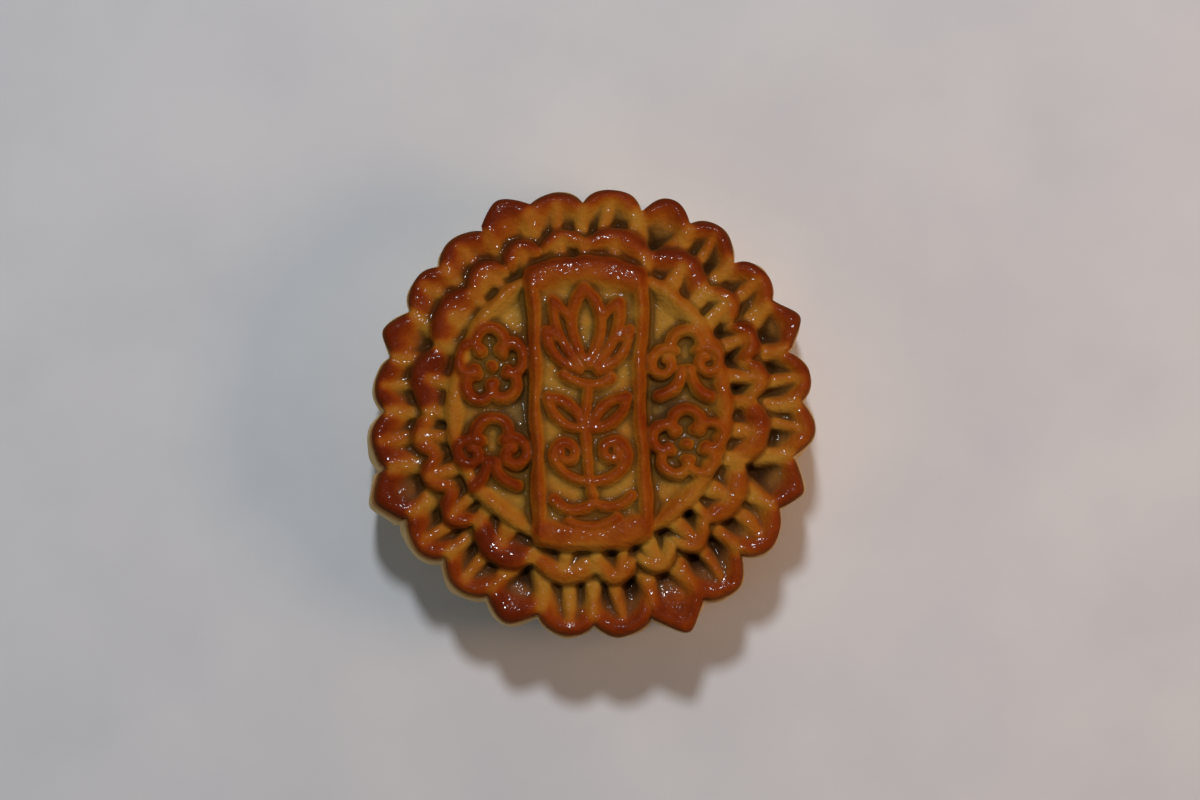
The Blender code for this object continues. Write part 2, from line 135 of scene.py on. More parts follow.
# What a rim does across its width: it rolls up to a crest, then falls into a dish.
Rim = namedtuple("Rim", "crest roll crest_at dish_at")
DISC_LIP = Rim(DISC_CREST + 0.2, 1.3, 1.4, 3.9)
PLAQUE_BAR = Rim(PLAQUE_CREST, 1.4, 1.3, 2.9)
PLAQUE_END = Rim(PLAQUE_CREST - 0.1, 0.9, 3.2, 6.0)
DISH_DEPTH = 1.5  # of the disc and of the plaque
# Half widths of the ornament's strokes
DISC_STROKE = 1.35
PLAQUE_STROKE = 1.25
# Slow waves (amount, x rate, y rate, phase) by which soft dough has shifted from the mould's pattern
SHIFT_X = (
    (0.30, 0.11, 0.07, 0.4),
    (0.20, -0.05, 0.17, 2.1),
    (0.16, 0.33, 0.24, 4.0),
    (0.13, 0.62, -0.51, 1.2),
)
SHIFT_Y = (
    (0.28, 0.06, -0.12, 1.7),
    (0.20, 0.15, 0.06, 5.2),
    (0.16, -0.27, 0.35, 0.9),
    (0.13, 0.49, 0.66, 3.3),
)
MIDDLE_SLIP = (0.3, -0.6)  # how far the middle has slipped from the outside
UNEVENNESS = ((5.0, 0.16), (2.2, 0.12), (0.9, 0.045), (0.5, 0.02))  # (reach, amount) of the dough's lumps


def smooth_step(low, high, x):
    """None below low, one above high, and a smooth rise between; low may be the greater."""
    t = np.clip((x - low) / (high - low), 0.0, 1.0)
    return t * t * (3.0 - 2.0 * t)


def smooth_max(a, b, blend):
    """The greater of two, rounded over where they are within blend of each other."""
    share = np.clip(0.5 + 0.5 * (a - b) / blend, 0.0, 1.0)
    return b + (a - b) * share + blend * share * (1.0 - share)


def uneven(index, channel):
    """A fixed number from -1 to 1 for each petal and purpose, so that no two petals are quite alike."""
    return math.sin(12.9898 * (index + 1) + 78.233 * (channel + 1) * (index + 2.3))


def facing(bearing, middle):
    """One at a bearing, falling to nothing on the opposite side of the cake."""
    return 0.5 + 0.5 * np.cos(np.radians(bearing - middle))


def shifted(x, y):
    """Where in the mould's pattern each point of the cake comes from."""
    middle = smooth_step(38.0, 28.0, np.hypot(x, y))
    dx, dy = (
        sum(amount * np.sin(a * x + b * y + phase) for amount, a, b, phase in waves) + slip * middle
        for waves, slip in zip((SHIFT_X, SHIFT_Y), MIDDLE_SLIP)
    )
    return x + dx, y + dy


# --- petals ---------------------------------------------------------------------------------------


def outer_petals():
    """Sixteen round petals and eight pointed ones, a pointed one after each two round ones."""
    pitch = 360.0 / OUTER_PETALS
    narrow, even, wide = 6.9, pitch / 2, 8.1
    petals = []
    for index in range(OUTER_PETALS):
        bearing = (index + 0.5) * pitch + 0.6 * uneven(index, 0)
        place = index % 3
        before, after = ((even, wide), (narrow, narrow), (wide, even))[place]
        spread = SPREAD * max(0.0, math.cos(math.radians(bearing - SPREAD_BEARING))) ** 8
        centre = OUTER_CENTRE + OVAL * math.cos(math.radians(2.0 * (bearing - OVAL_BEARING)))
        centre += FULLNESS * facing(bearing, FULLER_BEARING) ** 1.5
        merged = MERGED * facing(bearing, MERGED_BEARING)
        centre -= merged
        radius = OUTER_RADIUS + 0.25 * uneven(index, 1) + spread + merged
        half_width = radius - 0.7 - 0.5 * spread - 0.5 * merged
        point = POINT_REACH[index // 3] if place == 1 else 0.0
        lift = 0.25 * uneven(index, 2)
        tan = POINT_TAN[index // 3] if place == 1 else 0.08 * uneven(index, 3)
        petals.append(Petal(bearing, before, after, centre, radius, half_width, point, lift, tan))
    return petals


def inner_petals():
    """Two large petals and three small ones in each quarter."""
    petals = []
    for quarter in range(4):
        start = 90.0 * quarter
        for side in (-1, 1):
            halves = (11.2, 12.0) if side < 0 else (12.0, 11.2)
            index = len(petals)
            bearing = start + LARGE_MIDDLE + LARGE_STEP * side + 0.6 * uneven(index, 4)
            radius = LARGE_RADIUS + 0.3 * uneven(index, 5)
            lift, tan = 0.25 * uneven(index, 6), LARGE_TAN[2 * quarter + (side + 1) // 2]
            petals.append(Petal(bearing, *halves, LARGE_CENTRE, radius, LARGE_HALF_WIDTH, 0.0, lift, tan))
        for side in (-1, 0, 1):
            halves = (7.5 if side < 0 else 7.15, 7.5 if side > 0 else 7.15)
            index = len(petals)
            bearing = start + FAN_MIDDLE + FAN_STEP * side + 0.5 * uneven(index, 4)
            radius = SMALL_RADIUS + 0.2 * uneven(index, 5)
            lift, tan = 0.2 * uneven(index, 6), 0.12 * uneven(index, 7) - 0.05
            petals.append(Petal(bearing, *halves, SMALL_CENTRE, radius, radius - 0.4, 0.0, lift, tan))
    return petals


def turn_from(bearing, axis):
    """Signed angle from an axis, in degrees, within half a turn."""
    return (bearing - axis + 180.0) % 360.0 - 180.0


def petal_depth(r, bearing, petal):
    """Distance inside the petal's edge, negative outside it, and how far along it towards the tip."""
    turn = turn_from(bearing, petal.bearing)
    along = r * np.cos(np.radians(turn))
    share = np.where(turn < 0.0, -turn / petal.before, turn / petal.after)
    across = petal.half_width * share * np.maximum(along / petal.centre, 0.6)
    towards_tip = (along - petal.centre) / petal.radius
    if petal.point == 0.0:
        return petal.radius - np.hypot(np.maximum(along - petal.centre, 0.0), across), towards_tip
    tip = petal.centre + petal.radius + petal.point
    run, rise = 0.723, 0.691  # direction across the straight edges
    blunt = 1.7  # how broadly the tip is rounded off
    edges = (tip - along) * run - (np.hypot(across, blunt) - blunt) * rise
    return np.minimum(edges, petal.radius - across), towards_tip


Tier = namedtuple("Tier", "depth tip lift tan")


def tier_at(r, bearing, petals, blend=0.35):
    """The petals of a tier together: depth inside their edge, and the nearest petal's tip, lift and tan."""
    depth = np.full(np.shape(r), -100.0)
    tip, lift, tan = np.zeros(np.shape(r)), np.zeros(np.shape(r)), np.zeros(np.shape(r))
    for petal in petals:
        own, towards_tip = petal_depth(r, bearing, petal)
        share = np.clip(0.5 + 0.5 * (own - depth) / blend, 0.0, 1.0)
        depth = depth + (own - depth) * share + blend * share * (1.0 - share)
        wide = smooth_step(0.0, 1.0, share)
        tip += (towards_tip - tip) * wide
        lift += (petal.lift - lift) * wide
        tan += (petal.tan - tan) * wide
    return Tier(depth, tip, lift, tan)


def rim_height(depth, rim, dish_depth):
    """Height across a rim: a quarter ellipse up to the crest, then a smooth fall into the dish."""
    into = np.clip(depth / rim.crest_at, 0.0, 1.0)
    roll = rim.roll * (1.0 - np.sqrt(1.0 - (1.0 - into) ** 2))
    return rim.crest - roll - dish_depth * smooth_step(rim.crest_at, rim.dish_at, depth)


def rim_share(depth, rim):
    """One on the rim, falling to nothing in the dish."""
    return 1.0 - smooth_step(rim.crest_at * 0.9, rim.dish_at * 1.1, depth)


def ridge(layer, r, bearing, start, end, half_width, flare=0.0):
    """Raises a rib, wider by flare at its start. Each end is a radius, bearing, height and browning."""
    (x0, y0), (x1, y1) = (
        (radius * math.sin(math.radians(turn)), radius * math.cos(math.radians(turn)))
        for radius, turn, _, _ in (start, end)
    )
    x = r * np.sin(np.radians(bearing)) - x0
    y = r * np.cos(np.radians(bearing)) - y0
    dx, dy = x1 - x0, y1 - y0
    along = np.clip((x * dx + y * dy) / (dx * dx + dy * dy), 0.0, 1.0)
    away = np.hypot(x - along * dx, y - along * dy) / (half_width + flare * (1.0 - along))
    top = start[2] + (end[2] - start[2]) * along
    brown = start[3] + (end[3] - start[3]) * along
    height = smooth_max(layer[0], top - 0.35 * away**2 - 1.2 * away**4, 0.35)
    share = np.exp(-(away**4))
    return np.stack([height, layer[1] + (brown - layer[1]) * share])


OUTER = outer_petals()
INNER = inner_petals()


def puffed(bearing):
    """One where the petals have risen into pads, on one side of the cake, and none where they stay dished."""
    return facing(bearing, PUFFED_BEARING) ** 3


def deepened(bearing):
    """How deep the hollows are at each bearing, which varies from petal to petal."""
    return 1.0 + 0.22 * np.sin(np.radians(5.0 * bearing + 40.0)) + 0.18 * np.sin(np.radians(11.0 * bearing))


def with_pit(layer, crest):
    """Adds to a layer how far each point is down in a pit, from none to one, by which the material paints
    shade.
    """
    return np.stack([*layer, smooth_step(0.7, 3.1, crest - layer[0])])


def falling(r, start, stop):
    """None outside start, growing to one at stop, ever more steeply inwards."""
    return np.clip((start - r) / (start - stop), 0.0, 1.3) ** 1.6


def outer_layer(r, bearing):
    """The lower tier's height and browning: rims, hollows that deepen inwards, ribs down and between them."""
    tier = tier_at(r, bearing, OUTER)
    tip = smooth_step(-0.5, 0.9, tier.tip)
    puff = puffed(bearing)
    rim = Rim(OUTER_CREST + tier.lift, EDGE_ROLL, 1.3, 3.9)
    deep = (2.0 - 1.1 * puff) * deepened(bearing)
    height = rim_height(tier.depth, rim, 1.2 - 0.75 * puff) - deep * falling(r, 38.6 - 0.4 * puff, OUTER_FOOT)
    brown = 0.28 + 0.26 * tip + rim_share(tier.depth, rim) * (0.12 + 0.17 * tip) + tier.tan
    # One side is browned and also painted darker as shade, the opposite side painted paler as light
    brown += 0.26 * facing(bearing, BROWNER_SHADED_BEARING) ** 2 - 0.07 * facing(bearing, PALER_LIT_BEARING) ** 2
    layer = np.stack([height, brown])
    for index, petal in enumerate(OUTER):
        if index % 3 != 1:
            inner = (OUTER_RIB_START, petal.bearing + 1.2 * uneven(index, 8), OUTER_CREST - 0.8, 0.26)
            outer = (38.7, petal.bearing, OUTER_CREST - 0.4 + petal.lift, 0.42)
            layer = ridge(layer, r, bearing, inner, outer, 1.15 + 0.15 * uneven(index, 9), 0.7)
        turn = petal.bearing + petal.after
        lean, flare = ((1.4, 1.4), (-1.4, 1.4), (0.0, 0.7))[index % 3]
        inner = (OUTER_RIB_START, turn + lean + 0.8 * uneven(index, 10), OUTER_CREST - 0.6, 0.20)
        outer = (37.6, turn, OUTER_CREST - 0.15, 0.34)
        layer = ridge(layer, r, bearing, inner, outer, 1.3 + 0.15 * uneven(index, 11), flare)
    return layer


def inner_layer(r, bearing):
    """The upper tier, whose ribs fan out from the edge of the disc with pits between them."""
    tier = tier_at(r, bearing, INNER)
    tip = smooth_step(-0.2, 0.9, tier.tip)
    puff = puffed(bearing)
    small = smooth_step(26.0, 19.0, np.abs(turn_from(bearing * 4.0, FAN_MIDDLE * 4.0) / 4.0))
    rim = Rim(INNER_CREST + tier.lift, 1.4, 1.8 - 0.5 * small, 4.4 - 1.5 * small + 0.4 * tip)
    deep = (1.2 + 2.3 * small) * (1.0 - 0.35 * puff) * deepened(bearing + 9.0)
    height = rim_height(tier.depth, rim, 0.9 - 0.7 * puff) - deep * falling(r, 30.8 - 0.7 * puff, INNER_FOOT)
    brown = 0.19 + 0.22 * tip + rim_share(tier.depth, rim) * (0.06 + 0.16 * tip) + tier.tan
    # One side is browned and also painted darker as shade
    brown += 0.22 * facing(bearing, BROWNER_SHADED_BEARING) ** 2 - 0.20 * facing(bearing, LIGHTER_INNER_BEARING) ** 8
    layer = np.stack([height, brown])
    for quarter in range(4):
        middle = 90.0 * quarter + LARGE_MIDDLE
        fan = 90.0 * quarter + FAN_MIDDLE
        # Each rib: how far its tip is below the crest, its two bearings, its outer end and its half width
        ribs = [(0.4, middle, middle, 30.6, 1.2)]
        for side in (-1, 1):
            large = middle + LARGE_STEP * side
            ribs.append((0.8, large, large, 30.2, 1.3))
            edge = fan + FAN_EDGE * side
            ribs.append((0.4, edge, edge, 30.4, 1.1))
        for side in (-1, 0, 1):
            ribs.append((0.4, fan + 11.4 * side, fan + FAN_STEP * side, 31.4, 1.2))
        for number, (below, base, tip_turn, outer_end, half_width) in enumerate(ribs):
            vary = uneven(number, 12 + quarter)
            lift = 0.5 * uneven(number, 20 + quarter)
            inner = (INNER_RIB_START, base + 1.2 * vary, INNER_CREST - 0.3 + lift, 0.16)
            outer = (outer_end, tip_turn, INNER_CREST - below + 0.15, 0.32)
            layer = ridge(layer, r, bearing, inner, outer, half_width + 0.12 * vary, 0.9 + 0.3 * vary)
    return layer


# --- disc, plaque and ornament --------------------------------------------------------------------


def arc(x, y, radius, start, stop, end_radius=None):
    """Points round a centre between two angles in degrees, spiralling in where end_radius is given."""
    count = max(4, int(abs(stop - start) / 18.0))
    end_radius = radius if end_radius is None else end_radius
    points = []
    for step in range(count + 1):
        share = step / count
        angle = math.radians(start + (stop - start) * share)
        reach = radius + (end_radius - radius) * share
        points.append((x + reach * math.cos(angle), y + reach * math.sin(angle)))
    return points


def bow(x0, y0, x1, y1, sag):
    """Points along a bowed line, bulging by sag to the right of its direction."""
    length = math.hypot(x1 - x0, y1 - y0)
    side_x, side_y = (y1 - y0) / length, -(x1 - x0) / length
    points = []
    for step in range(9):
        share = step / 8
        out = 4.0 * sag * share * (1.0 - share)
        points.append((x0 + (x1 - x0) * share + side_x * out, y0 + (y1 - y0) * share + side_y * out))
    return points


def both_sides(stroke):
    """A stroke and its mirror image across the plaque."""
    return [stroke, [(-x, y) for x, y in stroke]]


def lotus():
    """A lotus on its stem over paired leaves, tendrils and ripples, drawn up the plaque."""
    strokes = []
    strokes += both_sides(bow(0.0, 7.6, 0.0, 21.4, 2.9))
    strokes += both_sides(bow(1.4, 7.2, 5.9, 18.8, 1.6))
    strokes += both_sides(bow(5.9, 18.8, 3.0, 15.8, 0.3))
    strokes += both_sides(bow(1.8, 6.6, 7.6, 13.6, 1.8))
    strokes += both_sides(bow(7.6, 13.6, 5.6, 12.4, 0.2))
    strokes.append(bow(-4.6, 5.4, 4.6, 5.4, 1.5))
    strokes.append(bow(0.0, 4.0, 0.0, -16.8, 0.5))
    strokes += both_sides(bow(0.6, -4.2, 7.4, 1.6, 1.8))
    strokes += both_sides(bow(7.4, 1.6, 0.6, -4.2, 1.6))
    strokes += both_sides(bow(0.3, -14.0, 6.9, -9.0, 1.8) + arc(4.4, -8.8, 2.5, 0.0, 380.0, 0.9))
    strokes += both_sides(bow(0.5, -18.6, 7.4, -17.2, 1.3))
    strokes.append(bow(-4.6, -21.4, 4.6, -21.4, 1.3))
    return strokes


def blossom(x, y, size):
    """A plum blossom: five round petals about a bead."""
    strokes = [[(x, y), (x, y + 0.01)]]
    for index in range(5):
        angle = 90.0 + 72.0 * index
        middle_x = x + 0.60 * size * math.cos(math.radians(angle))
        middle_y = y + 0.60 * size * math.sin(math.radians(angle))
        strokes.append(arc(middle_x, middle_y, 0.40 * size, angle - 125.0, angle + 125.0))
    return strokes


def cloud(x, y, size):
    """A ruyi cloud: a round head between two curls, on a short tail."""
    head = arc(x, y + 0.38 * size, 0.42 * size, -20.0, 200.0)
    strokes = [head]
    for side in (-1, 1):
        curl = arc(0.56 * size, -0.10 * size, 0.42 * size, 125.0, -250.0, 0.14 * size)
        strokes.append([(x + side * px, y + py) for px, py in curl])
        tail = bow(0.10 * size, -0.30 * size, 0.62 * size, -0.98 * size, 0.14 * size)
        strokes.append([(x + side * px, y + py) for px, py in tail])
    return strokes


PLAQUE_STROKES = lotus()
DISC_STROKES = [
    *blossom(-18.2, 7.6, 6.6),
    *cloud(-18.0, -7.4, 7.0),
    *cloud(18.0, 8.4, 7.0),
    *blossom(18.2, -7.4, 6.6),
]


def stroke_distance(x, y, strokes):
    """Distance from each point to the nearest stroke's middle line."""
    away = np.full(np.shape(x), 100.0)
    for stroke in strokes:
        for (x0, y0), (x1, y1) in zip(stroke, stroke[1:]):
            dx, dy = x1 - x0, y1 - y0
            along = np.clip(((x - x0) * dx + (y - y0) * dy) / (dx * dx + dy * dy), 0.0, 1.0)
            away = np.minimum(away, np.hypot(x - x0 - along * dx, y - y0 - along * dy))
    return away


def raised(layer, away, half_width, top, floor, brown):
    """Adds round-backed strokes that stand from floor to top."""
    back = np.clip(1.0 - (away / half_width) ** 2, 0.0, 1.0) ** 0.6
    height = np.where(away < half_width, smooth_max(layer[0], floor + (top - floor) * back, 0.25), layer[0])
    share = 1.0 - smooth_step(0.5 * half_width, 1.25 * half_width, away)
    return np.stack([height, layer[1] + (brown - layer[1]) * share])


def disc_layer(r, x, y):
    """A dished disc with a rounded lip, sinking a little beside the plaque."""
    bearing = np.degrees(np.arctan2(x, y))
    sink = 0.7 * smooth_step(16.0, 11.0, np.abs(x))
    lip = 1.0 + 0.45 * np.cos(np.radians(bearing - 110.0))
    depth = DISC_RADIUS - r
    on_lip = rim_share(depth, DISC_LIP)
    height = rim_height(depth, DISC_LIP, DISH_DEPTH) - sink + 0.2 * (lip - 1.0) * on_lip
    brown = 0.06 + 0.24 * on_lip * lip - 0.05 * facing(bearing, 45.0) ** 2
    away = stroke_distance(x, y, DISC_STROKES)
    stroke_brown = 0.50 + 0.22 * smooth_step(8.0, -12.0, x)
    layer = np.stack([height, brown])
    return raised(layer, away, DISC_STROKE, DISC_CREST + 0.8, DISC_CREST - 1.9, stroke_brown)


def depth_in_plaque(r, x):
    """Distance inside the plaque, which has straight sides and ends that follow the disc."""
    return -smooth_max(np.abs(x) - PLAQUE_HALF_WIDTH, r - PLAQUE_HALF_LENGTH, 1.2)


def plaque_layer(r, x, y):
    """A framed plaque: a round bar down each side, a broader band at each end, strokes between."""
    from_side, from_end = PLAQUE_HALF_WIDTH - np.abs(x), PLAQUE_HALF_LENGTH - r
    bars = rim_height(from_side, PLAQUE_BAR, DISH_DEPTH)
    ends = rim_height(from_end, PLAQUE_END, DISH_DEPTH)
    corner = -1.4 * smooth_step(1.2, 0.0, depth_in_plaque(r, x))
    height = np.minimum(smooth_max(bars, ends, 0.5), PLAQUE_CREST + corner)
    bar_brown = (0.49 - 0.06 * np.sign(x)) * rim_share(from_side, PLAQUE_BAR)
    end_brown = (0.56 - 0.02 * np.sign(y)) * rim_share(from_end, PLAQUE_END)
    layer = np.stack([height, 0.06 + np.maximum(bar_brown, end_brown)])
    away = stroke_distance(x, y, PLAQUE_STROKES)
    return raised(layer, away, PLAQUE_STROKE, PLAQUE_CREST + 0.1, PLAQUE_CREST - 2.0, 0.62)


def top_layer(x, y):
    """Height, browning and pits of the top, each tier standing on the one below behind a steep wall."""
    x, y = shifted(x, y)
    r, bearing = np.hypot(x, y), np.degrees(np.arctan2(x, y))
    layer = with_pit(outer_layer(r, bearing), OUTER_CREST)
    inner = with_pit(inner_layer(r, bearing), INNER_CREST)
    disc = with_pit(disc_layer(r, x, y), DISC_CREST - 1.6)
    plaque = with_pit(plaque_layer(r, x, y), PLAQUE_CREST - 1.5)
    layer += (inner - layer) * smooth_step(-0.6, 0.1, tier_at(r, bearing, INNER).depth)
    layer += (disc - layer) * smooth_step(-0.6, 0.1, DISC_RADIUS - r)
    return layer + (plaque - layer) * smooth_step(-0.6, 0.1, depth_in_plaque(r, x))


class Relief:
    """The top's height, browning with painted shading, and finish on a square grid, softened and uneven as
    dough is.
    """

    def __init__(self):
        line = np.arange(-REACH, REACH + CELL / 2, CELL)
        x, y = np.meshgrid(line, line)
        height, brown, pit = top_layer(x, y)
        random = np.random.default_rng(7)
        self.height = self.blurred(height, 0.22)
        for reach, amount in UNEVENNESS:
            self.height += amount * self.noise(random, height.shape, reach)
        # Painted shading: slopes that face +Y are painted browner and slopes that face -Y paler
        facing_north = -np.gradient(self.blurred(height, 0.7), CELL, axis=0)
        self.brown = self.blurred(brown, 0.35) + 0.22 * np.clip(facing_north, -1.0, 1.0)
        slope = np.hypot(*np.gradient(self.blurred(height, 0.35), CELL))
        self.gloss = 1.0 - 0.9 * smooth_step(0.35, 1.1, slope)
        self.near = self.height - self.blurred(self.height, 0.9)
        self.pit = self.blurred(pit, 0.3)
        self.dull = np.exp(-(((np.abs(x) - 14.0) / 3.0) ** 4) - (y / 5.5) ** 4)
        self.dull *= smooth_step(DISC_CREST - 0.2, DISC_CREST - 1.1, self.height)

    def grids(self):
        """All the grids, in the order in which cake_rings stacks them."""
        return self.height, self.brown, self.gloss, self.near, self.pit, self.dull

    def noise(self, random, shape, reach):
        """Smooth random unevenness of this reach, a millimetre high on the whole."""
        found = self.blurred(random.standard_normal(shape), reach)
        return found / found.std()

    @staticmethod
    def blurred(grid, reach):
        """A Gaussian blur by Fourier transform."""
        rows = np.fft.fftfreq(grid.shape[0])[:, None]
        columns = np.fft.rfftfreq(grid.shape[1])[None, :]
        weight = np.exp(-2.0 * (math.pi * reach / CELL) ** 2 * (rows**2 + columns**2))
        return np.fft.irfft2(np.fft.rfft2(grid) * weight, grid.shape)

    def at(self, grid, x, y):
        """Reads a grid at points, between its cells."""
        column, row = (x + REACH) / CELL, (y + REACH) / CELL
        left = np.clip(column.astype(int), 0, grid.shape[1] - 2)
        low = np.clip(row.astype(int), 0, grid.shape[0] - 2)
        across, up = column - left, row - low
        bottom = grid[low, left] * (1 - across) + grid[low, left + 1] * across
        top = grid[low + 1, left] * (1 - across) + grid[low + 1, left + 1] * across
        return bottom * (1 - up) + top * up


# --- mesh -----------------------------------------------------------------------------------------


def edge_radius(bearing, depth_at):
    """Radius at which an edge lies, found by walking in from outside it."""
    r = np.full(len(bearing), REACH)
    for _ in range(60):
        x, y = shifted(r * np.sin(np.radians(bearing)), r * np.cos(np.radians(bearing)))
        r += 0.7 * depth_at(np.hypot(x, y), np.degrees(np.arctan2(x, y)))
    return r


def wall_radius(edge, bearing, share):
    """The side wall's radius at a share of its height: bulging, with its scallops softer lower down."""
    keep = WALL_SCALLOP_AT_BASE + (1.0 - WALL_SCALLOP_AT_BASE) * share
    span = 1.0 - WALL_WIDEST
    lean = 1.0 + BULGE_LEAN * np.cos(np.radians(bearing - BULGE_LEAN_BEARING))
    sag = BULGE_SAG * np.maximum(np.cos(np.radians(bearing - BULGE_SAG_BEARING)), 0.0) ** 6
    hump = 1.0 - ((share - WALL_WIDEST) / span) ** 2
    dents = sum(
        amount * np.sin(np.radians(turns * bearing) + rate * share) for amount, turns, rate in WALL_DENTS
    )
    return edge.mean() + (edge - edge.mean()) * keep + (WALL_BULGE * lean + sag + dents) * hump


def wall_rings(edge, bearing):
    """Radii, heights, browning and glaze from the base's edge up to the top of the wall."""
    wall_top = OUTER_CREST - EDGE_ROLL
    rings = []
    for angle in np.arange(90.0, 0.0, -15.0):
        up = BASE_ROUNDING * (1.0 - math.sin(math.radians(angle)))
        inset = BASE_ROUNDING * (1.0 - math.cos(math.radians(angle)))
        radius = wall_radius(edge, bearing, up / wall_top) - inset
        rings.append((radius, up, 0.5 - 0.3 * up / BASE_ROUNDING, 0.0))
    for share in np.linspace(BASE_ROUNDING / wall_top, 1.0, WALL_RINGS):
        glaze = float(smooth_step(0.84, 1.0, share))
        rings.append((wall_radius(edge, bearing, share), share * wall_top, 0.08 + 0.35 * glaze, glaze))
    return rings


def top_radii(bearing):
    """Radii of the rings over the top's tiers, closer together where the tiers have their edges."""
    edges = []
    for tier in (OUTER, INNER):
        edges.append(edge_radius(bearing, lambda r, b, tier=tier: tier_at(r, b, tier).depth))
    edges.append(edge_radius(bearing, lambda r, b: DISC_RADIUS - r))
    edges.append(np.full(BEARINGS, MIDDLE_RADIUS))
    radii = []
    for outside, inside, count in zip(edges, edges[1:], TOP_RINGS):
        for step in range(count):
            share = step / count
            if inside is not edges[-1]:
                share -= 0.12 * math.sin(2.0 * math.pi * share)
            radii.append(outside + (inside - outside) * share)
    radii[0] = radii[0] - 0.02  # a hair inside the wall's last ring
    return edges[0], radii


def cake_rings(relief):
    """Rings of (x, y, height, browning, glaze, gloss, near relief, pit, dullness), from the base inwards."""
    bearing = np.arange(BEARINGS) * 360.0 / BEARINGS
    outer_edge, radii = top_radii(bearing)
    rings = []
    for radius, *values in wall_rings(outer_edge, bearing):
        x, y = radius * np.sin(np.radians(bearing)), radius * np.cos(np.radians(bearing))
        values += [values[-1], 0.0, 0.0, 0.0]  # it is glossy where it is glazed
        rings.append(np.stack([x, y, *(np.full(BEARINGS, value) for value in values)]))
    side_count = len(rings)
    count, stop = BEARINGS, MIDDLE_RADIUS
    while count >= 12:
        for radius in radii:
            x, y = radius * np.sin(np.radians(bearing)), radius * np.cos(np.radians(bearing))
            height, brown, *rest = (relief.at(grid, x, y) for grid in relief.grids())
            rings.append(np.stack([x, y, height, brown, np.ones(count), *rest]))
        count //= 2
        start, stop = stop, stop / 2.0
        bearing = np.arange(count) * 360.0 / count
        steps = max(2, int(round((start - stop) / MIDDLE_SPACING)))
        radii = [np.full(count, start + (stop - start) * step / steps) for step in range(steps)]
    return rings, side_count


def ring_faces(lower, upper):
    """Faces between two rings of point numbers of equal count, or with half as many in the upper one."""
    ratio = len(lower) // len(upper)
    faces = []
    for index in range(len(upper)):
        after = (index + 1) % len(upper)
        start, stop = lower[index * ratio], lower[(index + 1) * ratio % len(lower)]
        if ratio == 2:
            middle = lower[index * ratio + 1]
            faces.append((upper[index], middle, start))
            faces.append((upper[index], upper[after], middle))
            faces.append((upper[after], stop, middle))
        else:
            faces.append((start, upper[index], upper[after], stop))
    return faces


def float_attribute(mesh, name, values):
    """Keeps a value for each point, for the material to read."""
    attribute = mesh.attributes.new(name, "FLOAT", "POINT")
    attribute.data.foreach_set("value", np.asarray(values, np.float32))


def lay_flat(mesh, rings, side_count):
    """Lays the surface out flat, nowhere twice: the top and the base as discs, the side as a strip."""
    top_reach, top_middle = 0.39, (0.40, 0.60)
    base_reach, base_middle = 0.09, (0.90, 0.90)
    margin, strip_length, strip_height = 0.01, 0.98, 0.18
    corners = np.empty(len(mesh.loops), np.int32)
    mesh.loops.foreach_get("vertex_index", corners)
    points = np.empty(len(mesh.vertices) * 3, np.float32)
    mesh.vertices.foreach_get("co", points)
    plan = points.reshape(-1, 3)[corners, :2]
    plan /= np.abs(plan).max()
    places = top_reach * plan + top_middle
    places[:BEARINGS] = base_reach * plan[:BEARINGS] + base_middle
    side = [ring[:3] for ring in rings[: side_count + 1]]
    steps = [np.linalg.norm(above - below, axis=0).mean() for below, above in zip(side, side[1:])]
    rise = np.cumsum([0.0, *steps])
    rise = margin + strip_height * rise / rise[-1]
    turn = margin + strip_length * (np.arange(BEARINGS)[:, None] + (0, 0, 1, 1)) / BEARINGS
    turn = np.tile(turn, (side_count, 1))
    up = np.repeat(np.stack([rise[:-1], rise[1:], rise[1:], rise[:-1]], axis=1), BEARINGS, axis=0)
    places[BEARINGS : BEARINGS + turn.size] = np.stack([turn.ravel(), up.ravel()], axis=1)
    mesh.uv_layers.new(name="OFBake").data.foreach_set("uv", places.astype(np.float32).ravel())


def cake_piece():
    """The cake as one closed mesh, centred on its base and kept inside the solid part's box."""
    rings, side_count = cake_rings(Relief())
    columns = np.concatenate(rings, axis=1)
    points = columns[:3].T.copy()
    first = np.concatenate([[0], np.cumsum([ring.shape[1] for ring in rings])])
    numbers = [list(range(start, stop)) for start, stop in zip(first, first[1:])]
    faces = [tuple(numbers[0])]
    for lower, upper in zip(numbers, numbers[1:]):
        faces += ring_faces(lower, upper)
    faces.append(tuple(reversed(numbers[-1])))

    low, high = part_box("mooncake")
    own_low, own_high = points.min(0), points.max(0)
    points[:, :2] -= (own_low + own_high)[:2] / 2
    fit = np.minimum(1.0, np.array(high - low) / MILLIMETRE / (own_high - own_low))
    points *= fit
    mesh = bpy.data.meshes.new("mooncake_crust")
    mesh.from_pydata(points * MILLIMETRE, [], faces)
    # browning also carries painted shading; pit and near_relief also steer painted shade in the hollows and
    # creases
    for name, values in zip(("browning", "glaze", "gloss", "near_relief", "pit", "dullness"), columns[3:]):
        float_attribute(mesh, name, values)
    lay_flat(mesh, rings, side_count)
    mesh.shade_smooth()
    mesh.update()
    piece = bpy.data.objects.new("mooncake_crust", mesh)
    bpy.context.scene.collection.objects.link(piece)
    return piece


# --- material -------------------------------------------------------------------------------------


def srgb(red, green, blue):
    """Linear colour from display values of 0 to 255."""
    values = []
    for value in (red, green, blue):
        share = value / 255.0
        values.append(share / 12.92 if share <= 0.04045 else ((share + 0.055) / 1.055) ** 2.4)
    return (*values, 1.0)


